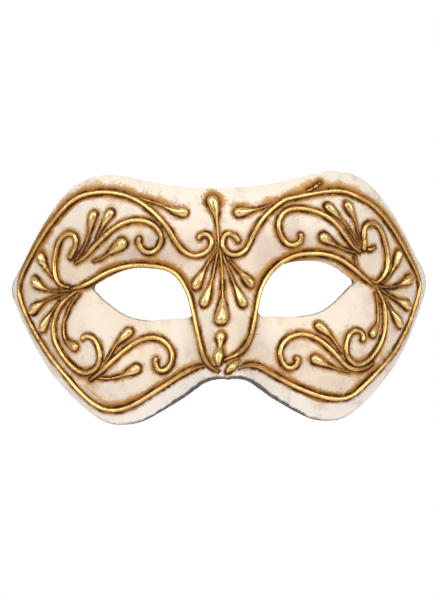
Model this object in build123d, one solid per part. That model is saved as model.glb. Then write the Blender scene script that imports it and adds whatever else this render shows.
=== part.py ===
from build123d import *
import math
import os
import numpy as np

# Venetian half mask: a curved papier-mache shell with two eye openings, a felt lining, a paper
# tab inside each temple where a ribbon is glued, and gilt relief beads laid on the front.
#
# +Z up, the face of the mask looks along -Y, +X to the right as seen from in front.
# The origin is where the wearer's nose bridge touches the lining, on the line of the eyes.
# The drawing below is made for a mask 170 wide and 101.5 high and is stretched to the sizes here.

# ---- driving dimensions, mm ----
mask_width = 170.0
mask_height = 101.5
wrap_depth = 80.0  # depth of the ellipse that the mask follows round the head
nose_height = 20.0  # how far the nose ridge stands out at its lower end
shell_wall = 1.8
lining_thickness = 0.7
lining_inset = 2.0  # from the shell's outline
eye_margin = 1.0  # lining stops this far outside each eye opening
tab_thickness = 0.7
tab_height = 13.6
tab_overhang = 1.9  # past the temple's edge on the drawing, of which 0.3 shows from in front
tab_reach = 8.0  # across the drawing, in from the temple's edge
bead_width = 1.9
bead_rise = 0.62  # height of a bead as a share of its width
glue_line = 0.08  # between a glued piece and what it is glued to
bead_gap = 0.12  # between one bead and the next

# ---- the drawing's own size ----
drawn_width = 170.0
drawn_height = 101.5
drawn_wrap = 95.0  # half width of the wrap ellipse on the drawing

# Outline of the right half, from the top of the mid-plane round the temple to the nose arch.
half_outline = [
    (0, 39.4), (10, 39.8), (20, 40.8), (30, 42.8), (37, 44.6), (44, 45.7), (50, 45.4),
    (55.5, 43.8), (60.5, 40.8), (64.8, 36.6), (70.5, 28.8), (75, 21.6), (78.2, 15.5),
    (81, 10), (83.4, 5.6), (84.8, 1.8), (84.8, -2.2), (83.2, -8), (80, -16), (76, -24.4),
    (71.2, -32.8), (66, -39.4), (60, -46), (55, -50.6), (50, -54), (45.5, -55.6), (40, -55.8),
    (34.5, -54.8), (28, -51.6), (21, -47.2), (15.5, -43.4), (11.5, -39.8), (7, -37.9), (0, -37.6),
]
left_eye = [
    (-52.8, 0.6), (-50, 2.4), (-45, 4.8), (-40, 6.8), (-35.5, 7.6), (-30.5, 7.5), (-25.5, 6.8),
    (-21.5, 5.6), (-19, 3.6), (-16.8, 0.4), (-15.2, -3.4), (-14, -7.6), (-13.2, -11.6),
    (-14.6, -12.6), (-22, -13.1), (-29.5, -13.6), (-34, -13.1), (-38, -12), (-42, -10),
    (-46, -7), (-50, -3.4),
]
right_eye = [
    (53.8, 0.8), (51.6, 2.4), (48.6, 4.6), (44.8, 7), (41, 8.4), (36.5, 9.2), (31.5, 9.2),
    (26.5, 8.6), (22.5, 7.2), (19.4, 4.6), (17, 1.2), (15.2, -3), (14.2, -7.6), (13.6, -11.6),
    (15, -12.6), (21, -12.9), (27, -13.2), (33, -12.8), (38.2, -11.7), (42.4, -9.6),
    (46.4, -6.4), (50.4, -2.6),
]

# Relief, in the order it is laid: name, width as a share of bead_width, shape, route.
# A vine is fine where it starts, and a reed at both ends. A leaf is broad in the middle. A drop
# is a fine stem that swells into a teardrop head. A pair is a round drop over a pointed one.
relief = [
    ("left_border_bead", 1.0, "vine", [
        (-9.2, -32.4), (-12.5, -33.2), (-17, -35.3), (-26.5, -41.2), (-36.5, -47.2), (-41.5, -49.2),
        (-45.5, -49.7), (-49, -49.1), (-53.5, -46.7), (-58.5, -42.2), (-64.5, -35),
        (-70.8, -26.6), (-76.2, -17.3), (-79.6, -10), (-81.6, -3.6), (-81.9, 1.4),
        (-80.3, 6.9), (-76.5, 14.2), (-70.8, 23.6), (-65, 30.8), (-60.5, 35.1), (-56, 37.5),
        (-50, 38.6), (-44, 38.4), (-38.5, 37), (-33, 34.2), (-27.5, 29.6), (-23, 24.4),
        (-19.4, 18.5), (-16.8, 15), (-14, 12.9), (-11, 12.2), (-8, 12.9), (-5.8, 14.6),
        (-4.7, 17.2), (-5.4, 19.7), (-7.3, 20.8), (-9.3, 20.1), (-9.9, 18.6)]),
    ("right_nose_leaf", 1.5, "leaf", [(4.6, -30.4), (3, -31.9), (1.4, -33.3), (-0.8, -35.5)]),
    ("right_border_bead", 1.0, "vine", [
        (0.6, -35), (5, -33.2), (8.5, -32.5), (12, -32.9), (18.9, -36.6), (28.3, -41.6),
        (38.4, -45.6), (43, -46.6), (47.5, -46.8), (52, -45.4), (57, -41.4), (63.5, -35.2),
        (69.8, -28.4), (75.2, -19.8), (78.6, -12.2), (80.8, -5.8), (81.6, -2), (81, 2),
        (78.6, 7.4), (74.4, 15), (69.4, 23.1), (63.4, 30), (59.4, 33), (55, 35.2), (50.8, 36.9),
        (46.6, 37.4), (41.6, 37.1), (36, 36.2), (30, 35.1), (25.4, 33.9), (20.2, 30.4),
        (15.6, 25.8), (12.1, 20.2), (10.1, 16.2), (7.9, 13.4), (5.1, 12.2), (2.4, 12.5),
        (0.2, 14.6), (-0.5, 17.4), (0.5, 20), (2.6, 20.8), (4.8, 19.4), (6.2, 17.2)]),
    ("left_eye_bead", 1.0, "reed", [
        (-3.6, -34.8), (-6.6, -32.6), (-8.5, -29.7), (-9.8, -25.6), (-11.6, -16.2),
        (-12.6, -10.5), (-14.2, -3.8), (-15.6, -0.4), (-17.4, 2.7), (-19.8, 5.4), (-23.4, 7.3),
        (-28.5, 8.5), (-33, 8.9), (-38, 8.7), (-43, 7.6), (-48.2, 5.5), (-53.5, 2.4),
        (-57.6, 0.6), (-61.6, -0.3)]),
    ("right_eye_bead", 1.0, "reed", [
        (-1.2, -30.4), (0.8, -29.4), (3.4, -28.2), (6, -26.4), (8.2, -23.8), (10, -20),
        (12.2, -11.6), (13.9, -4.2),
        (15.6, 0), (17.8, 3.4), (20.8, 6.7), (24.4, 9.4), (30.2, 11.8), (36, 12.4),
        (41.4, 12), (47.4, 10), (52.6, 6.4), (57.2, 2.4), (61.8, -1.4)]),
    ("left_lower_stem", 1.0, "vine", [
        (-58.6, -0.8), (-63, -4.1), (-66.2, -7.8), (-68, -12.4), (-68.6, -17), (-67.8, -22),
        (-64.6, -28), (-60.8, -32.3), (-57.4, -34.2), (-54.2, -34), (-51.6, -32), (-50.5, -29),
        (-50.6, -25.6), (-51.6, -22.4), (-53.8, -20), (-56.2, -19.8), (-57.6, -21.2)]),
    ("right_lower_stem", 1.0, "vine", [
        (62.8, -2), (65.3, -7.4), (66.1, -13), (65.9, -18.2), (64.6, -23.4), (61.8, -28.2),
        (58.4, -31.6), (55, -33.1), (52.6, -32.7), (50.2, -30.6), (49.2, -27.6), (49.6, -23.8),
        (51.2, -20.6), (53.4, -19.4), (55.6, -20.2), (56.6, -22.2), (56, -24)]),
    ("left_temple_hook", 1.05, "vine", [
        (-59.2, 1.6), (-61.6, 0.6), (-64.2, 0.9), (-66.4, 2.6), (-67.6, 6.2), (-67.8, 10), (-67, 14.4),
        (-66, 18.2), (-64.4, 20.8), (-62.2, 22.2), (-60, 21.8), (-59, 19.8), (-59.2, 17),
        (-60.4, 14.4), (-61.8, 12)]),
    ("right_temple_hook", 1.05, "vine", [
        (60.4, 1.2), (62.6, 0), (65, 1.6), (67, 4.6), (67.8, 8.6), (67.5, 12.6), (66.4, 17.6),
        (64.8, 21.8), (62.4, 24), (59.9, 23.8), (58.1, 22), (57.7, 19), (58, 16), (57.8, 13)]),
    ("left_upper_scroll", 1.0, "vine", [
        (-59.4, 10.2), (-55.6, 12.8), (-50.8, 17.8), (-46, 22.2), (-41.6, 25.2), (-37.8, 26.7),
        (-34, 27), (-30.4, 26.2), (-27.2, 24.2), (-25.4, 21.4), (-25, 18.6), (-26.2, 15.9),
        (-28.4, 14.2), (-31, 14.2), (-33, 15.7), (-34.1, 18.2), (-33.6, 20.4)]),
    ("right_upper_scroll", 1.0, "vine", [
        (56.3, 12.5), (53.6, 14.6), (50, 19.4), (46.8, 23.4), (43.4, 26.4), (39.6, 28.5),
        (35.8, 29.8), (32, 30.5), (28.2, 30.3), (25.2, 29.1), (23.3, 26.9), (22.5, 23.8),
        (23, 20.6), (24.6, 17.8), (27, 16), (29.6, 16.2), (31.5, 17.8), (31.4, 20.8)]),
    ("left_lower_scroll", 1.0, "vine", [
        (-54.6, -37.3), (-49.6, -33.4), (-44, -28.4), (-40, -25.2), (-36.2, -22.6),
        (-32.6, -21.1), (-29, -20.6), (-25.6, -21.6), (-22.7, -24.2), (-21.4, -27.6),
        (-22, -31.2), (-24.2, -33.7), (-26.8, -33.8), (-28.3, -31.2), (-27.9, -28.3)]),
    ("right_lower_scroll", 1.0, "vine", [
        (64, -28.6), (61.4, -31.9), (57.8, -34.3), (53.8, -35.1), (50, -34), (46.4, -30.6),
        (43, -27), (39.4, -23.8), (35.6, -21.5), (32.2, -20.5), (28.8, -20.6), (25.2, -22.2),
        (22.7, -25), (21.9, -28.3), (23, -31.8), (25.2, -33.8), (28, -33.3), (29.2, -31.2),
        (28.3, -29.4)]),
    ("crest_drop", 2.4, "drop", [(-2, 15.4), (-2.2, 21), (-2.4, 25), (-3, 29.5), (-4.4, 36.4)]),
    ("centre_fan_3", 2.8, "drop", [(-1.4, 14.6), (-0.9, 6), (-0.9, -1), (-1, -7), (-2, -16)]),
    ("centre_fan_1", 2.1, "drop", [(-2.6, 14.6), (-6.2, 9.2), (-8.4, 5.4), (-11.9, -1.6)]),
    ("centre_fan_2", 2.1, "drop", [(-2.2, 14.4), (-3.8, 7.4), (-4.8, 2.8), (-8.6, -8.6)]),
    ("centre_fan_4", 2.1, "drop", [(-1, 14.4), (1.2, 7.4), (2.8, 3), (7.6, -9)]),
    ("centre_fan_5", 2, "drop", [(0.8, 11.6), (2.8, 9.2), (6.2, 5.2), (11.4, -0.8)]),
    ("nose_drop", 2.1, "pair", [
        (-2.2, -18.6), (-2.3, -21.8), (-2.7, -25.2), (-3.2, -28.4), (-3.5, -33)]),
    ("left_brow_drop", 2.0, "drop", [
        (-34, 36.4), (-30, 34.8), (-24.4, 32.7), (-19.6, 30.6), (-14, 29.2)]),
    ("right_brow_drop", 2.0, "drop", [
        (26.5, 34.4), (22, 33), (17.6, 31.4), (13, 30.3), (4.4, 29)]),
    ("right_border_wisp", 0.6, "leaf", [
        (30.6, 36.2), (34.6, 37.5), (38, 39.1), (40.6, 41.2)]),
    ("right_temple_link", 0.5, "vine", [
        (54, 10.8), (54.4, 7.8), (55.6, 5), (58.2, 2.4)]),
    ("right_hook_stub", 0.8, "leaf", [(59.3, 13.6), (61, 13.6), (62.8, 14.6)]),
    ("left_upper_drop_a", 1.9, "drop", [
        (-60, 10.4), (-57.3, 14.4), (-55.1, 18.1), (-53.8, 22), (-51.4, 31.2)]),
    ("left_upper_drop_b", 1.9, "drop", [
        (-52.6, 16), (-50.4, 20.6), (-48.6, 24.4), (-44.2, 31.4)]),
    ("left_upper_drop_c", 2.3, "drop", [
        (-52.4, 10.6), (-48.4, 12.2), (-45.6, 14.2), (-39, 19.2)]),
    ("right_upper_drop_a", 1.9, "drop", [
        (56.2, 15.4), (53, 19.6), (49.6, 24.4), (42, 32)]),
    ("right_upper_drop_b", 1.9, "drop", [
        (56.9, 15.4), (55.4, 20.6), (54.3, 25), (50.6, 33)]),
    ("right_upper_drop_c", 2.0, "drop", [
        (57, 12), (52.2, 12.9), (47.4, 14.8), (39.4, 19.8)]),
    ("left_lower_drop_a", 1.9, "drop", [
        (-49.2, -31.6), (-46.4, -27.5), (-44.2, -23.8), (-37.4, -17.2)]),
    ("left_lower_drop_b", 1.9, "drop", [
        (-52, -36.4), (-47.6, -36.9), (-42.6, -36), (-34.4, -32.2)]),
    ("right_lower_drop_a", 1.9, "drop", [
        (49.4, -30.4), (46, -26), (43, -21.6), (37, -16.2)]),
    ("right_lower_drop_b", 1.9, "drop", [
        (57.2, -34.9), (52, -36), (46, -35), (34.8, -29.8)]),
    ("left_temple_fan_1", 2.0, "drop", [
        (-65, 0.4), (-68.5, 4.6), (-70.8, 8), (-73.6, 14.6)]),
    ("left_temple_fan_2", 2.0, "drop", [
        (-61.6, -0.9), (-68.4, -0.9), (-72.4, 0.4), (-76.8, 4.2)]),
    ("left_temple_fan_3", 2.0, "drop", [
        (-60.4, -1.1), (-67, -2.9), (-71.4, -4.9), (-78, -9.4)]),
    ("left_temple_fan_4", 2.0, "drop", [
        (-59.6, -1.4), (-62.6, -2.6), (-66.6, -6), (-69.8, -10.6), (-73.6, -17.4)]),
    ("right_temple_fan_1", 2.0, "drop", [
        (63, -0.9), (67, 1), (69.6, 4.4), (73.2, 12.8)]),
    ("right_temple_fan_2", 2.0, "drop", [
        (63, -1.4), (65.5, -1.9), (68, -2), (71.4, -1.6), (78.4, 1.8)]),
    ("right_temple_fan_3", 2.0, "drop", [
        (63, -1.8), (65, -3.2), (68.2, -5.4), (72, -7.6), (77.4, -10.4)]),
    ("right_temple_fan_4", 2.0, "drop", [
        (63.4, -2.2), (65, -4.6), (67.4, -8.8), (70, -13.4), (73.2, -18.4)]),
    ("left_short_drop", 1.7, "drop", [
        (-58, -2), (-60.6, -5.4), (-63, -10), (-64.6, -15.6), (-63.8, -21), (-59, -24.6)]),
    ("right_short_drop", 1.6, "drop", [
        (62.4, -4.4), (63, -8.2), (63.2, -12.6), (62.8, -16.6), (59.8, -22.2)]),
]


# ---- the face surface ----
def hill(value, centre, spread):
    return np.exp(-(((value - centre) / spread) ** 2))


def raw_depth(x, z):
    """Depth of the front face behind the foremost wrap line, before the origin is placed."""
    dx = abs(x) * drawn_width / mask_width
    dz = z * drawn_height / mask_height
    wrap = wrap_depth * (1 - math.sqrt(1 - (dx / drawn_wrap) ** 2))
    lean = (dz + 14) ** 2 / 480
    growth = 1 / (1 + math.exp((dz + 30) / 13))
    nose = nose_height * (0.1 + 1.4 * growth) * hill(dx, 0, 11 + 6 * growth)
    socket = 4.0 * hill(dx, 34, 21) * hill(dz, -1, 15)
    cheek = 3.0 * hill(dx, 46, 20) * hill(dz, -31, 14)
    brow = 3.5 * hill(dx, 38, 26) * hill(dz, 26, 12)
    return wrap + lean - nose + socket - cheek - brow


def normal(x, z):
    """Unit normal of the front face, pointing out of the mask's front."""
    step = 0.05
    slope_x = (raw_depth(x + step, z) - raw_depth(x - step, z)) / (2 * step)
    slope_z = (raw_depth(x, z + step) - raw_depth(x, z - step)) / (2 * step)
    across = np.array([slope_x, -1.0, slope_z])
    return across / np.linalg.norm(across)


def place_origin():
    """Find the front point whose partner on the lining's inner face is at the eye line."""
    depth = shell_wall + glue_line + lining_thickness
    z = 0.0
    for _ in range(20):
        z = depth * normal(0, z)[2]
    return raw_depth(0, z) - depth * normal(0, z)[1]


origin_depth = place_origin()


def front(x, z):
    return np.array([x, raw_depth(x, z) - origin_depth, z])


def behind(x, z, depth):
    """The point `depth` behind the front face, measured square to it."""
    return front(x, z) - depth * normal(x, z)


def stretch(points):
    """Drawing points at the mask's own size."""
    return [(x * mask_width / drawn_width, z * mask_height / drawn_height) for x, z in points]


def smooth(points, closed=False, parts=12):
    """A fine line through the points, by a centripetal Catmull-Rom curve."""
    p = np.array(points, float)
    if closed:
        p = np.vstack([p[-1], p, p[0], p[1]])
    else:
        p = np.vstack([2 * p[0] - p[1], p, 2 * p[-1] - p[-2]])
    line = []
    for a, b, c, d in zip(p[:-3], p[1:-2], p[2:-1], p[3:]):
        ta = 0.0
        tb = ta + math.sqrt(np.linalg.norm(b - a))
        tc = tb + math.sqrt(np.linalg.norm(c - b))
        td = tc + math.sqrt(np.linalg.norm(d - c))
        for t in np.linspace(tb, tc, parts, endpoint=False):
            ab = ((tb - t) * a + (t - ta) * b) / (tb - ta)
            bc = ((tc - t) * b + (t - tb) * c) / (tc - tb)
            cd = ((td - t) * c + (t - tc) * d) / (td - tc)
            abc = ((tc - t) * ab + (t - ta) * bc) / (tc - ta)
            bcd = ((td - t) * bc + (t - tb) * cd) / (td - tb)
            line.append(((tc - t) * abc + (t - tb) * bcd) / (tc - tb))
    if not closed:
        line.append(p[-2])
    return np.array(line)


def spaced(line, step):
    """The line's points again, evenly spaced about `step` apart."""
    lengths = np.r_[0, np.cumsum(np.linalg.norm(np.diff(line, axis=0), axis=1))]
    count = max(int(round(lengths[-1] / step)), 2) + 1
    places = np.linspace(0, lengths[-1], count)
    return np.column_stack([np.interp(places, lengths, line[:, k]) for k in range(line.shape[1])])


def grow(points, distance, softening=8):
    """A closed outline moved outwards, or inwards if negative, with its corners softened."""
    p = spaced(smooth(np.vstack([points, points[:1]])), 1.5)[:-1]
    along = np.roll(p, -1, axis=0) - np.roll(p, 1, axis=0)
    out = np.column_stack([along[:, 1], -along[:, 0]])
    out /= np.linalg.norm(out, axis=1)[:, None]
    area = np.sum(p[:, 0] * np.roll(p[:, 1], -1) - np.roll(p[:, 0], -1) * p[:, 1])
    return soften(p + distance * math.copysign(1, area) * out, softening)


def soften(p, times):
    for _ in range(times):
        p = (np.roll(p, 1, axis=0) + 2 * p + np.roll(p, -1, axis=0)) / 4
    return p


# ---- sheets that follow the face ----
slab_margin = 5.0  # how far a slab runs on past the mask, on the drawing
slab_columns = 65
slab_rows = 41


def slab(depth, thickness):
    """A slab that starts `depth` behind the front face and is larger than the mask all round."""
    half_angle = math.asin((drawn_width / 2 + slab_margin) / drawn_wrap)
    angles = np.linspace(-half_angle, half_angle, slab_columns)
    columns = drawn_wrap * np.sin(angles) * mask_width / drawn_width
    spacing = list(np.linspace(0, 1, slab_columns))

    def level(x, z, below):
        return Vector(x, front(x, z)[1] - below / normal(x, z)[1], z)

    wires = []
    for z in np.linspace(-0.62 * mask_height, 0.52 * mask_height, slab_rows):
        near = [level(x, z, depth) for x in columns]
        far = [level(x, z, depth + thickness) for x in columns[::-1]]
        wires.append(Wire([
            Edge.make_spline(near, parameters=spacing), Edge.make_line(near[-1], far[0]),
            Edge.make_spline(far, parameters=spacing), Edge.make_line(far[-1], near[0])]))
    return Solid.make_loft(wires)


def square_cut(points):
    """A closed ribbon of surface that stands square to the face along the outline."""
    line = spaced(smooth(points, closed=True), 2.4)[:-1]
    ahead = Edge.make_spline([Vector(*behind(x, z, -2.5)) for x, z in line], periodic=True)
    inside = Edge.make_spline([Vector(*behind(x, z, 5)) for x, z in line], periodic=True)
    return Face.make_surface_from_curves(ahead, inside)


def across_size(solid):
    return solid.bounding_box().size.X


def sheet(depth, thickness, outline, holes=()):
    """A sheet of the thickness, starting `depth` behind the face, with its edges cut square."""
    pieces = slab(depth, thickness).split(square_cut(outline), keep=Keep.ALL)
    piece = min(pieces, key=across_size)
    for hole in holes:
        piece = max(piece.split(square_cut(hole), keep=Keep.ALL), key=across_size)
    return piece


def full_outline():
    right = stretch(half_outline)
    left = [(-x, z) for x, z in right[-2:0:-1]]
    return right + left


def mask_shell():
    return sheet(0, shell_wall, full_outline(), [stretch(left_eye), stretch(right_eye)])


def tab_edges():
    """The tab's near and far edge, measured from the mid-plane."""
    edge = mask_width / 2
    return edge - tab_reach, edge + tab_overhang


def inner_lining():
    eyes = [grow(stretch(eye), eye_margin, 3) for eye in (left_eye, right_eye)]
    outline = grow(full_outline(), -lining_inset)
    side = tab_edges()[0] - lining_inset
    outline[:, 0] = np.clip(outline[:, 0], -side, side)
    return sheet(shell_wall + glue_line, lining_thickness, soften(outline, 12), eyes)


def tie_tab(side):
    """A paper tab inside the temple that grips the ribbon's end and just shows past the edge."""
    near, far = tab_edges()
    half = tab_height / 2
    corner = 1.6
    outline = [
        (near + corner, half), (far - 3.4, half), (far - 1.7, half - corner), (far - 0.4, 0.35 * half),
        (far, -0.1 * half), (far - 0.5, -0.5 * half), (far - 1.6, corner - half), (far - 3, -half),
        (near + corner, -half), (near, corner - half), (near, half - corner),
    ]
    return sheet(shell_wall + glue_line, tab_thickness, [(side * x, z) for x, z in outline])


# ---- relief ----
step = 0.25  # between the points of a stroke
shortest = 8  # steps in the shortest stroke worth laying
fine_width = 0.52 * bead_width  # of a stroke where it starts or ends fine
head_length = 2.7  # of a drop's head, as a share of its width
lead_in = 9.0  # along which a vine or a reed grows to its full width
lead_out = 8.0  # along which a reed shrinks again
section_gap = 1.8  # between the sections that a bead is lofted through
end_sections = (0.12, 0.4, 0.9, 1.6)  # more of them near each end, as shares of half the width


def round_off(places, width):
    """How the width shrinks to a round end at the place nought."""
    t = np.clip(places / (0.5 * width), 0.02, 1)
    return np.sqrt(1 - (1 - t) ** 2)


def ease(t):
    t = np.clip(t, 0, 1)
    return t * t * (3 - 2 * t)


def taper(places, width, shape):
    """Width at each place along a stroke."""
    length = places[-1]
    left = length - places
    share = places / length
    swell = width - fine_width
    if shape == "pair":
        upper = hill(share, 0.16, 0.15)
        lower = hill(share, 0.7, 0.18)
        shape_width = width * (0.4 + 0.55 * upper + 0.65 * lower) * round_off(places, width)
    elif shape == "drop":
        head = min(head_length * width, 0.8 * length)
        stem = fine_width * (0.8 + 0.4 * share)
        shape_width = stem + (width - stem) * ease((head - left) / (head - 0.55 * width))
    elif shape == "leaf":
        shape_width = fine_width + swell * np.sin(math.pi * share)
    elif shape == "reed":
        grown = np.minimum(places / lead_in, left / lead_out)
        shape_width = fine_width + swell * np.clip(grown, 0, 1)
    else:
        shape_width = fine_width + swell * np.clip(places / lead_in, 0, 1)
    return shape_width * round_off(left, width)


def room(line, laid):
    """How far each point of the line is from the side of the nearest stroke already laid."""
    free = np.full(len(line), np.inf)
    for points, widths in laid:
        apart = np.linalg.norm(line[:, None, :] - points[None, :, :], axis=2)
        free = np.minimum(free, (apart - widths / 2).min(axis=1))
    return free - bead_gap


def lay(laid, width, shape, route):
    """Points and widths of a stroke: the longest run that stands clear of those already laid."""
    flat = smooth(stretch(route))
    line = spaced(np.array([front(x, z) for x, z in flat]), step)
    free = room(line, laid)
    for lost in range(len(line) - shortest):
        for first in (lost, 0, lost // 2):
            run = slice(first, first + len(line) - lost)
            widths = taper(step * np.arange(len(line) - lost), width, shape)
            if (widths / 2 < free[run]).all():
                return line[run], widths
    raise ValueError("no room for a stroke")


def section(point, along, width):
    """A D-shaped slice of a bead: a flat foot that follows the face and a rounded top."""
    out = normal(point[0], point[2])
    side = np.cross(out, along)
    side /= np.linalg.norm(side)
    out = np.cross(along, side)
    out /= np.linalg.norm(out)

    def foot(across):
        spot = point + across * side
        rise = (front(spot[0], spot[2]) - spot) @ out
        return spot + (rise + glue_line) * out

    left, middle, right = foot(-width / 2), foot(0), foot(width / 2)
    arch_pull = 4 / 3 * bead_rise * width * out
    arch = Edge.make_bezier(*[Vector(*p) for p in (left, left + arch_pull, right + arch_pull, right)])
    sag = 2 * middle - (left + right) / 2
    base = Edge.make_bezier(*[Vector(*p) for p in (right, sag, left)])
    return Wire([arch, base])


def stations(run, widths):
    """Places along a stroke to cut sections at: close together at its ends."""
    last = len(run) - 1
    count = max(int(last * step / section_gap), 3) + 1
    chosen = {int(round(k)) for k in np.linspace(0, last, count)}
    for share in end_sections:
        away = min(int(round(share * widths.max() / 2 / step)), last)
        chosen.update((away, last - away))
    return sorted(chosen)


def bead(run, widths):
    wires = []
    for k in stations(run, widths):
        ahead = run[min(k + 1, len(run) - 1)]
        back = run[max(k - 1, 0)]
        along = (ahead - back) / np.linalg.norm(ahead - back)
        wires.append(section(run[k], along, widths[k]))
    return Solid.make_loft(wires)


def relief_beads():
    laid = []
    pieces = {}
    for name, share, shape, route in relief:
        run, widths = lay(laid, share * bead_width, shape, route)
        laid.append((run, widths))
        pieces[name] = bead(run, widths)
    return pieces


def build():
    pieces = {
        "mask_shell": mask_shell(),
        "inner_lining": inner_lining(),
        "left_tie_tab": tie_tab(-1),
        "right_tie_tab": tie_tab(1),
    }
    pieces.update(relief_beads())
    return pieces


os.makedirs("parts", exist_ok=True)
for node, solid in build().items():
    export_step(solid, f"parts/{node}.step")
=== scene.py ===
import math
from collections import deque

import bmesh
import bpy
import numpy as np
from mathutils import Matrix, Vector, kdtree, noise
from mathutils.bvhtree import BVHTree


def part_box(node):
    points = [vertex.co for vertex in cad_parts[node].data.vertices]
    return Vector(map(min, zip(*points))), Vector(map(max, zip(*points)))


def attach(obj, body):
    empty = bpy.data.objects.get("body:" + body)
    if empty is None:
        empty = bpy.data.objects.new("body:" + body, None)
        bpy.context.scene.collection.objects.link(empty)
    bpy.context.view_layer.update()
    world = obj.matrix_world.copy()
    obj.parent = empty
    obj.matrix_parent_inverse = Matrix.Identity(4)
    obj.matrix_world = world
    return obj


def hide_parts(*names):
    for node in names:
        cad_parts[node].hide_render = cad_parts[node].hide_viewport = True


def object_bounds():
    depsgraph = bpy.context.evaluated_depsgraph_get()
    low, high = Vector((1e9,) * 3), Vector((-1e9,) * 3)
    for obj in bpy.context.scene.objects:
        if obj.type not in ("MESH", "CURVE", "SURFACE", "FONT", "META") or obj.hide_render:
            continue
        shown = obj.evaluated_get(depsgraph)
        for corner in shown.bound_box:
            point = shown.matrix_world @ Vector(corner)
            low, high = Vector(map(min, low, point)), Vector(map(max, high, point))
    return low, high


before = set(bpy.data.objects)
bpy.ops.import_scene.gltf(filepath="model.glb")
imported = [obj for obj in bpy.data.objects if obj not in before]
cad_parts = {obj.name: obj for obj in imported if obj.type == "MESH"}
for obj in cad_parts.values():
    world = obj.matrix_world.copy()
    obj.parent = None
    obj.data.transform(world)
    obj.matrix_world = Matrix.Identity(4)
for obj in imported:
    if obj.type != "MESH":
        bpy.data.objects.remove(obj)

cad_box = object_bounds()
MM = 0.001

# A venetian half mask: an ivory gesso shell over papier-mache, gilt relief laid on it by hand,
# brown antiquing wash rubbed into the corners with painted shade there, painted highlights on the
# gilt and the brow, a dark felt lining and a paper tab at each temple.

NOT_RELIEF = ("mask_shell", "inner_lining", "left_tie_tab", "right_tie_tab")
RELIEF = sorted(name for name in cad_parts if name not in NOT_RELIEF)

SHELL_VOXEL = 0.5 * MM
BEAD_VOXEL = 0.2 * MM
LINING_VOXEL = 0.5 * MM
TAB_VOXEL = 0.3 * MM
WELD = 0.002 * MM  # corners nearer than this are one corner
RIM_STEP = 0.15 * MM  # between the points that stand for a rim
CREASE = math.radians(40)  # a sharper edge than this ends a face of the shell
CROWD = 24  # relief points in reach of a place on the shell make it crowded


# ---- tools of the bench ----
def select_only(piece):
    bpy.ops.object.select_all(action="DESELECT")
    piece.select_set(True)
    bpy.context.view_layer.objects.active = piece


def copied(node, name):
    """A copy of a node's mesh with its loose triangles welded, ready to be worked."""
    piece = bpy.data.objects.new(name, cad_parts[node].data.copy())
    bpy.context.scene.collection.objects.link(piece)
    piece.data.materials.clear()
    select_only(piece)
    bpy.ops.object.mode_set(mode="EDIT")
    bpy.ops.mesh.select_all(action="SELECT")
    bpy.ops.mesh.remove_doubles(threshold=WELD)
    bpy.ops.object.mode_set(mode="OBJECT")
    return piece


def remeshed(piece, voxel, smoothing):
    """An even skin over the piece, with its facets and sharp corners worn down."""
    select_only(piece)
    skin = piece.modifiers.new("skin", "REMESH")
    skin.mode = "VOXEL"
    skin.voxel_size = voxel
    bpy.ops.object.modifier_apply(modifier="skin")
    soft = piece.modifiers.new("soft", "SMOOTH")
    soft.factor = 0.5
    soft.iterations = smoothing
    bpy.ops.object.modifier_apply(modifier="soft")
    bpy.ops.object.shade_smooth()
    return piece


def points_of(piece):
    flat = np.empty(len(piece.data.vertices) * 3)
    piece.data.vertices.foreach_get("co", flat)
    return flat.reshape(-1, 3)


def normals_of(piece):
    flat = np.empty(len(piece.data.vertices) * 3)
    piece.data.vertex_normals.foreach_get("vector", flat)
    return flat.reshape(-1, 3)


def set_points(piece, points):
    piece.data.vertices.foreach_set("co", points.ravel())
    piece.data.update()


def push_out(piece, points, outward):
    """Moves each point along its normal by so many mm. Gives the points back."""
    points = points + normals_of(piece) * (MM * outward)[:, None]
    set_points(piece, points)
    return points


def give(piece, name, values):
    """A number at each point of the piece, for its material to read."""
    attribute = piece.data.attributes.new(name, "FLOAT", "POINT")
    attribute.data.foreach_set("value", np.asarray(values, dtype=np.float32))


def wobble(points, size, seed):
    """Smooth random values from -1 to 1 whose lumps are about `size` across."""
    shift = Vector((seed * 7.3, seed * 3.1, seed * 5.7))
    return np.array([noise.noise(Vector(p) / size + shift) for p in points])


def ramp(values, low, high):
    t = np.clip((values - low) / (high - low), 0, 1)
    return t * t * (3 - 2 * t)


def finish_piece(piece, body, slot, material, *nodes):
    piece.data.materials.append(material)
    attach(piece, body)
    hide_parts(*nodes)


# ---- where things are on the shell ----
def region(mesh, start):
    """The faces reached from the start face without crossing a crease, and points on their rim."""
    bm = bmesh.new()
    bm.from_mesh(mesh)
    bm.faces.ensure_lookup_table()
    reached = {start}
    queue = deque([bm.faces[start]])
    while queue:
        face = queue.popleft()
        for edge in face.edges:
            for other in edge.link_faces:
                if other.index not in reached and other.normal.angle(face.normal, 0) < CREASE:
                    reached.add(other.index)
                    queue.append(other)
    corners = [v.co.copy() for v in bm.verts]
    faces = [[v.index for v in bm.faces[i].verts] for i in reached]
    rim = []
    for edge in bm.edges:
        if sum(f.index in reached for f in edge.link_faces) == 1:
            a, b = (v.co.copy() for v in edge.verts)
            steps = max(int((b - a).length / RIM_STEP), 1)
            rim.extend(a.lerp(b, k / steps) for k in range(steps + 1))
    bm.free()
    return BVHTree.FromPolygons(corners, faces), rim


def tree_of(points):
    tree = kdtree.KDTree(len(points))
    for index, point in enumerate(points):
        tree.insert(point, index)
    tree.balance()
    return tree


def near(tree, points):
    """Distance in mm from each point to the nearest one in the tree."""
    return np.array([tree.find(p)[2] for p in points]) / MM


def off(surface, points):
    """Distance in mm from each point to the surface."""
    return np.array([surface.find_nearest(p)[3] for p in points]) / MM


def thinned(points, spacing):
    """About one point in each cell of that spacing."""
    cells = {}
    for p in points:
        cells.setdefault(tuple(np.floor(p / spacing).astype(int)), p)
    return list(cells.values())


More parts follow.
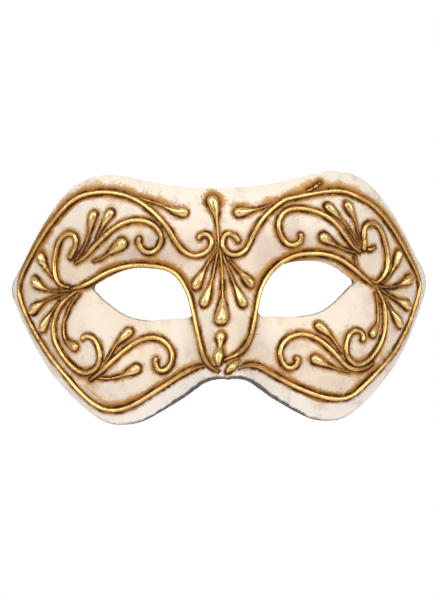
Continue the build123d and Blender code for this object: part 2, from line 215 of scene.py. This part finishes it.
def read_shell():
    welded = copied("mask_shell", "shell_template")
    mesh = welded.data
    whole = BVHTree.FromPolygons(
        [v.co for v in mesh.vertices], [list(p.vertices) for p in mesh.polygons])
    low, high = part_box("mask_shell")
    front_start = whole.find_nearest(Vector((0, low.y, 0)))[2]
    back_start = whole.find_nearest(Vector((0, 5 * MM, 0)))[2]
    front, rim = region(mesh, front_start)
    back, _ = region(mesh, back_start)
    in_eye = [abs(p.x) < 0.36 * (high.x - low.x) and abs(p.z) < 0.2 * (high.z - low.z) for p in rim]
    outline = tree_of([p for p, eye in zip(rim, in_eye) if not eye])
    eyes = tree_of([p for p, eye in zip(rim, in_eye) if eye])
    bpy.data.objects.remove(welded)
    return front, back, outline, eyes


# ---- pieces ----
def make_bead(node, front, seed):
    """One relief stroke: its CAD shape, softened and made a little uneven, as if squeezed by hand."""
    piece = remeshed(copied(node, "gilt_" + node), BEAD_VOXEL, 2)
    points = points_of(piece)
    lift = off(front, points)
    uneven = 0.09 * wobble(points, 4.5 * MM, seed) + 0.035 * wobble(points, 1.4 * MM, seed + 40)
    points = push_out(piece, points, uneven * ramp(lift, 0.1, 0.7))
    give(piece, "lift", off(front, points))
    return piece


def make_shell(front, back, outline, eyes, beads):
    """The moulded shell: gentle waves of papier-mache and a little gesso drawn up to each bead."""
    piece = remeshed(copied("mask_shell", "gesso_shell"), SHELL_VOXEL, 3)
    points = points_of(piece)
    laid = np.vstack([points_of(b) for b in beads])
    bead_tree = tree_of(thinned(laid, 0.35 * MM))
    crowd_tree = tree_of(thinned(laid, 1.2 * MM))
    to_bead = near(bead_tree, points)
    to_front, to_back = off(front, points), off(back, points)
    front_share = to_back / (to_back + to_front + 1e-6)
    facing = ramp(front_share, 0.5, 0.95)
    waves = 0.10 * (1 + wobble(points, 16 * MM, 3)) + 0.035 * wobble(points, 5 * MM, 9)
    waves += 0.012 * wobble(points, 1.8 * MM, 21)
    drawn_up = 0.16 * np.exp(-((to_bead / 0.7) ** 2))
    ragged = 0.12 * wobble(points, 2.2 * MM, 31) * (1 - facing)
    moved = facing * (waves * ramp(to_bead, 0, 2.5) + drawn_up) + ragged
    points = push_out(piece, points, moved)
    give(piece, "front_share", front_share)
    mark_shell(piece, points, outline, eyes, bead_tree, crowd_tree)
    return piece


def mark_shell(piece, points, outline, eyes, bead_tree, crowd_tree):
    """What the shell's material reads: distances, worn places, how far the wash reaches, the painted
    shade of the eye hollows and the painted light on the brow.
    """
    to_outline, to_eye = near(outline, points), near(eyes, points)
    crowd = np.array([crowd_tree.find_n(p, CROWD)[-1][2] for p in points]) / MM
    across, height = np.abs(points[:, 0]) / MM, points[:, 2] / MM
    give(piece, "bead_mm", near(bead_tree, points))
    give(piece, "crowd_mm", crowd)
    give(piece, "outline_mm", to_outline)
    give(piece, "eye_mm", to_eye)
    give(piece, "worn_edge", worn_edge(points, across, height, to_outline, to_eye))
    # painted shade: a greyish lilac over the eye hollows under the brow
    give(piece, "eye_hollow_shade", np.exp(-(((across - 31) / 19) ** 2) - ((height - 13) / 6) ** 2))
    # painted light: the brow and upper mask are made paler, as if lit from above
    give(piece, "brow_painted_light", ramp(height, 14, 30))
    give(piece, "wash_reach", wash_reach(height, crowd, to_outline, to_eye))


def worn_edge(points, across, height, to_outline, to_eye):
    """Where the gesso is rubbed through: the low edge, the tips, the nose arch and the eyes."""
    arch = ramp(-height, 33, 37) * ramp(-across, -46, -30)
    low_edge = ramp(-height, 34, 40) * ramp(-across, -56, -44)
    tip = ramp(across, 79, 82) * ramp(-np.abs(height), -9, -6)
    under_eye = ramp(across, 24, 34) * ramp(-height, -2, 0)
    chewed = 0.5 * wobble(points, 3 * MM, 51) + 0.3 * wobble(points, 1.1 * MM, 52)
    worn = ramp(-to_outline, -0.55, -0.3) * np.maximum(low_edge, tip)
    worn = np.maximum(worn, ramp(-to_outline - chewed, -1.15, -0.85) * arch)
    return np.maximum(worn, ramp(-to_eye, -0.5, -0.28) * under_eye)


def wash_reach(height, crowd, to_outline, to_eye):
    """How many mm the brown wash reaches from a bead."""
    on_flange = ramp(-to_outline, -8.5, -6.5)
    reach = 1.25 + 1.25 * ramp(-crowd, -7, -3.2) + 2.1 * on_flange * ramp(height, 4, 22)
    reach += 1.7 * ramp(-to_eye, -6.5, -3.5) * ramp(height, -4, 3)
    reach += 1.6 * (1 - on_flange) * ramp(-to_outline, -14, -10) * ramp(-height, 26, 38)
    reach -= 0.8 * on_flange * ramp(-height, 0, 12)
    return reach


def make_lining():
    piece = remeshed(copied("inner_lining", "felt_lining"), LINING_VOXEL, 2)
    points = points_of(piece)
    nap = 0.05 * wobble(points, 2.5 * MM, 5) + 0.03 * wobble(points, 0.9 * MM, 15)
    push_out(piece, points, nap)
    return piece


def make_tab(side, seed):
    piece = remeshed(copied(side + "_tie_tab", side + "_paper_tab"), TAB_VOXEL, 2)
    points = points_of(piece)
    creases = 0.10 * wobble(points, 4 * MM, seed) + 0.05 * wobble(points, 1.2 * MM, seed + 8)
    push_out(piece, points, creases)
    return piece


# ---- material helpers ----
class Nodes:
    """Places nodes in a tree and joins them by short calls."""

    def __init__(self, tree):
        self.tree = tree

    def add(self, kind, **settings):
        node = self.tree.nodes.new(kind)
        for key, value in settings.items():
            setattr(node, key, value)
        return node

    def join(self, source, target):
        if isinstance(source, (int, float)):
            target.default_value = source
        elif isinstance(source, tuple):
            target.default_value = source if len(source) != 3 else (*source, 1.0)
        else:
            self.tree.links.new(source, target)

    def attribute(self, name):
        return self.add("ShaderNodeAttribute", attribute_name=name).outputs["Fac"]

    def place(self):
        return self.add("ShaderNodeTexCoord").outputs["Object"]

    def noise(self, place, per_mm, detail=3.0, roughness=0.55, distortion=0.0):
        node = self.add("ShaderNodeTexNoise")
        self.join(place, node.inputs["Vector"])
        self.join(per_mm / MM, node.inputs["Scale"])
        self.join(detail, node.inputs["Detail"])
        self.join(roughness, node.inputs["Roughness"])
        self.join(distortion, node.inputs["Distortion"])
        return node.outputs["Fac"]

    def cells(self, place, per_mm):
        node = self.add("ShaderNodeTexVoronoi")
        self.join(place, node.inputs["Vector"])
        self.join(per_mm / MM, node.inputs["Scale"])
        return node.outputs["Distance"]

    def math(self, operation, a, b=0.0, c=None):
        node = self.add("ShaderNodeMath", operation=operation)
        self.join(a, node.inputs[0])
        self.join(b, node.inputs[1])
        if c is not None:
            self.join(c, node.inputs[2])
        return node.outputs[0]

    def range(self, value, low, high, start=0.0, end=1.0):
        node = self.add("ShaderNodeMapRange", interpolation_type="SMOOTHSTEP")
        for source, target in zip((value, low, high, start, end), node.inputs[:5]):
            self.join(source, target)
        return node.outputs[0]

    def mix(self, share, a, b):
        node = self.add("ShaderNodeMix", data_type="RGBA")
        self.join(share, node.inputs["Factor"])
        colours = [s for s in node.inputs if s.type == "RGBA"]
        self.join(a, colours[0])
        self.join(b, colours[1])
        return next(s for s in node.outputs if s.type == "RGBA")

    def group(self, tree, **inputs):
        node = self.add("ShaderNodeGroup", node_tree=tree)
        for key, value in inputs.items():
            self.join(value, node.inputs[key.replace("_", " ").capitalize()])
        return node.outputs

    def bump(self, height, distance_mm, strength):
        node = self.add("ShaderNodeBump")
        self.join(strength, node.inputs["Strength"])
        self.join(distance_mm * MM, node.inputs["Distance"])
        self.join(height, node.inputs["Height"])
        return node.outputs["Normal"]


def new_group(name, inputs, outputs):
    """A node group with named number inputs and outputs."""
    tree = bpy.data.node_groups.new(name, "ShaderNodeTree")
    for key, default in inputs.items():
        socket = tree.interface.new_socket(key, in_out="INPUT", socket_type="NodeSocketFloat")
        socket.default_value = default
    for key in outputs:
        tree.interface.new_socket(key, in_out="OUTPUT", socket_type="NodeSocketFloat")
    nodes = Nodes(tree)
    return tree, nodes, nodes.add("NodeGroupInput").outputs, nodes.add("NodeGroupOutput").inputs


def new_material(name, **shader):
    material = bpy.data.materials.new(name)
    material.use_nodes = True
    nodes = Nodes(material.node_tree)
    principled = material.node_tree.nodes["Principled BSDF"]
    for key, value in shader.items():
        nodes.join(value, principled.inputs[key.replace("_", " ")])
    return material, nodes, principled.inputs


def wash_group():
    """Brown antiquing wash: dark against a bead, then thinning out in a ragged, spotty edge. The dark
    line right against the bead is partly wash and partly painted shade in the crease at its foot.
    """
    tree, n, given, out = new_group(
        "antique_wash_and_shade", {"Distance": 10.0, "Reach": 2.0, "Load": 1.0},
        ("Line", "Body", "Spots"))
    place = n.place()
    broad = n.noise(place, 0.11, 3)
    fine = n.noise(place, 0.9, 5, 0.7)
    speck = n.noise(place, 2.6, 3, 0.7)
    ragged = n.math("ADD", n.math("MULTIPLY", broad, 2.6), n.math("MULTIPLY", fine, 1.7))
    reach = n.math("MULTIPLY", given["Reach"], n.math("SUBTRACT", ragged, 1.15))
    rough_edge = n.math("MULTIPLY_ADD", n.math("SUBTRACT", speck, 0.5), 5.5, given["Distance"])
    body = n.range(rough_edge, n.math("MULTIPLY", reach, 0.45), reach, 1.0, 0.0)
    n.join(n.math("MULTIPLY", body, given["Load"]), out["Body"])
    patches = n.range(n.noise(place, 0.2, 3), 0.44, 0.62)
    # the dark line against the bead: wash pooled in the crease, darkened further as painted shade
    dark_line_and_shade = n.range(given["Distance"], 0.2, n.math("MULTIPLY_ADD", patches, 1.0, 0.4), 1.0, 0.0)
    n.join(n.math("MULTIPLY", dark_line_and_shade, n.math("MINIMUM", 1.0, given["Load"])), out["Line"])
    dots = n.cells(place, 1.7)
    thin = n.noise(place, 0.35, 2)
    sprayed = n.math("SUBTRACT", n.math("MULTIPLY", given["Reach"], 2.0), given["Distance"])
    share = n.range(sprayed, -1.8, 2.4, 0.0, 0.42)
    spotted = n.math("LESS_THAN", dots, n.math("MULTIPLY", share, n.range(thin, 0.45, 0.7)))
    n.join(spotted, out["Spots"])
    return tree


def grain_group():
    """Fine brushed and dried-paint grain, with a few pits."""
    tree, n, given, out = new_group("paint_grain", {"Fineness": 1.0}, ("Height", "Cloud"))
    place = n.place()
    fine = n.noise(place, 2.6, 4, 0.6)
    broad = n.noise(place, 0.45, 3)
    pits = n.range(n.cells(place, 0.8), 0.05, 0.16)
    height = n.math("MULTIPLY_ADD", fine, given["Fineness"], n.math("MULTIPLY", broad, 1.4))
    n.join(n.math("MULTIPLY_ADD", pits, 0.35, height), out["Height"])
    n.join(broad, out["Cloud"])
    return tree


WASH_AND_SHADE = wash_group()
GRAIN = grain_group()

IVORY = (0.72, 0.585, 0.45)
BONE = (0.81, 0.73, 0.615)
CHALK = (0.83, 0.76, 0.72)
# a lilac used for random blush and for the painted shade in the eye hollows
BLUSH_AND_SHADE = (0.50, 0.375, 0.32)
TAN = (0.57, 0.31, 0.080)
OCHRE = (0.29, 0.105, 0.010)
WASH_AND_SHADE_BROWN = (0.105, 0.030, 0.003)
UMBER = (0.030, 0.0075, 0.0010)
BRONZE = (0.28, 0.10, 0.012)
GOLD = (0.68, 0.35, 0.075)
# pale gold of the painted highlights on the bead tops
PAINTED_HIGHLIGHT_GOLD = (0.95, 0.63, 0.25)
RAW_EDGE = (0.13, 0.095, 0.075)
RAW_BACK = (0.32, 0.25, 0.18)


def gesso_material():
    material, n, shader = new_material(
        "ivory_gesso", Specular_IOR_Level=0.22, Coat_Roughness=0.3)
    place = n.place()
    cloud = n.noise(place, 0.045, 3, 0.5)
    blotch = n.noise(place, 0.13, 3, 0.6)
    bead = n.attribute("bead_mm")
    crowded = n.range(n.attribute("crowd_mm"), 3.2, 7.0, 1.0, 0.0)
    flange = n.range(n.attribute("outline_mm"), 6.5, 8.5, 1.0, 0.0)
    at_eye = n.range(n.attribute("eye_mm"), 3.5, 6.5, 1.0, 0.0)
    hollow_shade = n.attribute("eye_hollow_shade")
    base = n.mix(n.range(cloud, 0.35, 0.65, 0.0, 0.5), IVORY, BONE)
    # painted light: the upper mask is mixed towards the paler BONE, as if lit from above
    base = n.mix(n.math("MULTIPLY", n.attribute("brow_painted_light"), 0.7), base, BONE)
    below = n.math("SUBTRACT", 1.0, n.attribute("brow_painted_light"))
    base = n.mix(n.math("MULTIPLY", flange, n.math("MULTIPLY", below, 0.65)), base, CHALK)
    base = n.mix(n.range(blotch, 0.48, 0.72, 0.0, 0.45), base, BLUSH_AND_SHADE)
    # painted shade in the eye hollows, in the same lilac as the random blush above
    base = n.mix(n.math("MULTIPLY", hollow_shade, n.range(blotch, 0.3, 0.6, 0.45, 0.85)), base, BLUSH_AND_SHADE)
    reach = n.attribute("wash_reach")
    load = n.range(n.noise(place, 0.075, 2), 0.36, 0.6, 0.45, 1.0)
    load = n.math("MAXIMUM", load, n.range(reach, 1.6, 2.8))
    wash = n.group(WASH_AND_SHADE, distance=bead, reach=reach, load=load)
    base = n.mix(n.math("MULTIPLY", wash["Body"], 0.9), base, TAN)
    inner = n.range(bead, 0.1, n.math("MULTIPLY", reach, 0.8), 1.0, 0.0)
    base = n.mix(n.math("MULTIPLY", inner, wash["Body"]), base, OCHRE)
    # wash pooled in crowded corners and beside the eyes, deepened by painted shade where the relief
    # crowds in
    corner = n.math("MULTIPLY", n.range(bead, 0.2, 1.9, 1.0, 0.0), n.math("MAXIMUM", crowded, at_eye))
    smear = n.range(n.noise(place, 0.2, 3, 0.65), 0.4, 0.58, 0.2, 1.0)
    corner = n.math("MULTIPLY", corner, smear)
    base = n.mix(corner, base, WASH_AND_SHADE_BROWN)
    # partly wash, partly painted shade: a near-black line in the crease at each bead's foot
    base = n.mix(wash["Line"], base, UMBER)
    base = n.mix(n.math("MULTIPLY", wash["Spots"], 0.7), base, OCHRE)
    freckles = n.math("LESS_THAN", n.cells(place, 0.7), n.range(blotch, 0.42, 0.7, 0.03, 0.16))
    base = n.mix(n.math("MULTIPLY", freckles, 0.6), base, OCHRE)
    base = n.mix(n.attribute("worn_edge"), base, RAW_EDGE)
    front_share = n.attribute("front_share")
    torn = n.math("ADD", front_share, n.range(n.noise(place, 0.7, 3), 0.3, 0.7, -0.16, 0.16))
    raw = n.mix(n.range(front_share, 0.1, 0.3), RAW_BACK, RAW_EDGE)
    raw = n.mix(n.range(n.noise(place, 1.1, 4), 0.35, 0.7, 0.0, 0.6), raw, UMBER)
    coated = n.range(torn, 0.55, 0.68)
    n.join(n.mix(coated, raw, base), shader["Base Color"])
    grain = n.group(GRAIN, fineness=0.5)
    rough = n.range(grain["Cloud"], 0.3, 0.7, 0.36, 0.52)
    rough = n.math("MULTIPLY_ADD", wash["Body"], 0.3, rough)
    n.join(n.range(coated, 0.0, 1.0, 0.85, rough), shader["Roughness"])
    bare = n.math("SUBTRACT", coated, wash["Body"])
    n.join(n.range(bare, 0.0, 1.0, 0.0, 0.14), shader["Coat Weight"])
    n.join(n.bump(grain["Height"], 0.05, 0.8), shader["Normal"])
    return material


# Gilt paint with random bronze wear, painted shade at each bead's foot and a painted highlight on its
# top.
def gilding_material():
    material, n, shader = new_material(
        "antiqued_gilding_painted_light", Specular_IOR_Level=0.6, Coat_Roughness=0.16)
    place = n.place()
    lift = n.attribute("lift")
    blotch = n.noise(place, 0.5, 3, 0.6)
    worn = n.noise(place, 0.16, 3, 0.6)
    uneven = n.math("MULTIPLY_ADD", blotch, 0.7, n.math("SUBTRACT", lift, 0.35))
    # the foot of each bead: antique wash and painted shade, from umber at the shell up to bronze
    foot_wash_and_shade = n.range(uneven, -0.02, 0.42)
    flank = n.range(uneven, 0.2, 0.85)
    # painted highlight: the top of each bead is made pale gold, as if it caught the light
    crown_painted_highlight = n.range(uneven, 0.75, 1.5)
    gold = n.mix(foot_wash_and_shade, UMBER, BRONZE)
    gold = n.mix(flank, gold, GOLD)
    gold = n.mix(crown_painted_highlight, gold, PAINTED_HIGHLIGHT_GOLD)
    gold = n.mix(n.range(worn, 0.5, 0.75, 0.0, 0.45), gold, BRONZE)
    n.join(gold, shader["Base Color"])
    n.join(n.range(foot_wash_and_shade, 0.0, 1.0, 0.6, 0.86), shader["Metallic"])
    n.join(n.math("MULTIPLY", crown_painted_highlight, 0.5), shader["Coat Weight"])
    grain = n.group(GRAIN, fineness=0.9)
    n.join(n.range(grain["Cloud"], 0.3, 0.7, 0.24, 0.4), shader["Roughness"])
    n.join(n.bump(grain["Height"], 0.06, 0.7), shader["Normal"])
    return material


def felt_material():
    material, n, shader = new_material(
        "dark_felt", Specular_IOR_Level=0.2, Sheen_Weight=0.35, Sheen_Roughness=0.6)
    place = n.place()
    fibre = n.noise(place, 2.2, 5, 0.7, 1.2)
    patch = n.noise(place, 0.08, 3)
    felt = n.mix(n.range(fibre, 0.3, 0.7), (0.016, 0.011, 0.009), (0.095, 0.070, 0.056))
    felt = n.mix(n.range(patch, 0.4, 0.7, 0.0, 0.35), felt, (0.12, 0.095, 0.078))
    n.join(felt, shader["Base Color"])
    n.join(n.range(fibre, 0.2, 0.8, 0.98, 0.86), shader["Roughness"])
    n.join(n.bump(fibre, 0.18, 0.9), shader["Normal"])
    return material


def tab_material():
    material, n, shader = new_material("glued_paper", Specular_IOR_Level=0.35)
    place = n.place()
    pulp = n.noise(place, 0.9, 5, 0.65, 0.6)
    stain = n.noise(place, 0.2, 3)
    paper = n.mix(pulp, (0.58, 0.49, 0.38), (0.78, 0.70, 0.58))
    paper = n.mix(n.range(stain, 0.45, 0.7, 0.0, 0.8), paper, TAN)
    n.join(paper, shader["Base Color"])
    n.join(n.range(pulp, 0.2, 0.8, 0.62, 0.8), shader["Roughness"])
    n.join(n.bump(pulp, 0.08, 0.9), shader["Normal"])
    return material


# ---- build ----
front, back, outline, eyes = read_shell()
gilding = gilding_material()
beads = [make_bead(node, front, seed) for seed, node in enumerate(RELIEF)]
shell = make_shell(front, back, outline, eyes, beads)
finish_piece(shell, "root", "gesso_shell", gesso_material(), "mask_shell")
for node, piece in zip(RELIEF, beads):
    finish_piece(piece, "root", "gilding", gilding, node)
lining = make_lining()
finish_piece(lining, "root", "felt_lining", felt_material(), "inner_lining")
paper = tab_material()
for seed, side in enumerate(("left", "right")):
    finish_piece(make_tab(side, seed), "root", "tab_paper", paper, side + "_tie_tab")


# ---- stage, light and camera ----
def area_light(name, place, size, watts, aim=Vector((0, 0.01, 0))):
    light = bpy.data.lights.new(name, "AREA")
    light.shape = "DISK"
    light.size = size
    light.energy = watts
    lamp = bpy.data.objects.new(name, light)
    lamp.location = place
    lamp.rotation_euler = (aim - Vector(place)).to_track_quat("-Z", "Y").to_euler()
    bpy.context.scene.collection.objects.link(lamp)


def studio():
    bpy.ops.object.select_all(action="DESELECT")
    bpy.ops.mesh.primitive_circle_add(
        vertices=96, radius=0.6, fill_type="NGON", location=(0, 0, -0.26))
    floor = bpy.context.active_object
    floor.name = "studio_floor"
    material, n, shader = new_material("pale_floor", Roughness=0.8)
    n.join((0.86, 0.86, 0.86), shader["Base Color"])
    floor.data.materials.append(material)
    for side, x in (("left", -1.1), ("right", 1.1)):
        area_light(side + "_softbox", (x, -1.0, 0.35), 0.7, 10.5)
    area_light("top_softbox", (0, -1.0, 0.95), 0.7, 8.0)
    area_light("rear_softbox", (0.1, 1.3, 0.5), 0.8, 8.0)
    world = bpy.data.worlds.new("studio")
    bpy.context.scene.world = world
    world.use_nodes = True
    n = Nodes(world.node_tree)
    seen = world.node_tree.nodes["Background"]
    n.join((1.0, 1.0, 1.0), seen.inputs["Color"])
    seen.inputs["Strength"].default_value = 1.0
    around = n.add("ShaderNodeBackground")
    direction = n.add("ShaderNodeTexCoord").outputs["Generated"]
    split = n.add("ShaderNodeSeparateXYZ")
    n.join(direction, split.inputs[0])
    n.join(n.mix(n.range(split.outputs["Z"], -0.6, 0.9), (0.45, 0.44, 0.43), (1.0, 1.0, 1.0)),
           around.inputs["Color"])
    around.inputs["Strength"].default_value = 0.32
    either = n.add("ShaderNodeMixShader")
    n.join(n.add("ShaderNodeLightPath").outputs["Is Camera Ray"], either.inputs[0])
    n.join(around.outputs[0], either.inputs[1])
    n.join(seen.outputs[0], either.inputs[2])
    n.join(either.outputs[0], world.node_tree.nodes["World Output"].inputs["Surface"])
    bpy.context.scene.view_settings.view_transform = "Standard"


def camera():
    """A long lens in front of the mask, a little to its left, with a slight roll."""
    azimuth, roll = math.radians(-2.5), math.radians(1.1)
    distance = 3.06
    temples = cad_box[1].y - 7 * MM
    aim = Vector((0, temples, -5.3 * MM))
    back_way = Vector((math.sin(azimuth), -math.cos(azimuth), 0))
    data = bpy.data.cameras.new("camera")
    data.lens = 450.0
    data.sensor_width = 36.0
    view = bpy.data.objects.new("camera", data)
    view.location = aim + back_way * distance
    view.rotation_euler = (-back_way).to_track_quat("-Z", "Y").to_euler()
    view.rotation_euler.rotate_axis("Z", -roll)
    bpy.context.scene.collection.objects.link(view)
    bpy.context.scene.camera = view


studio()
camera()
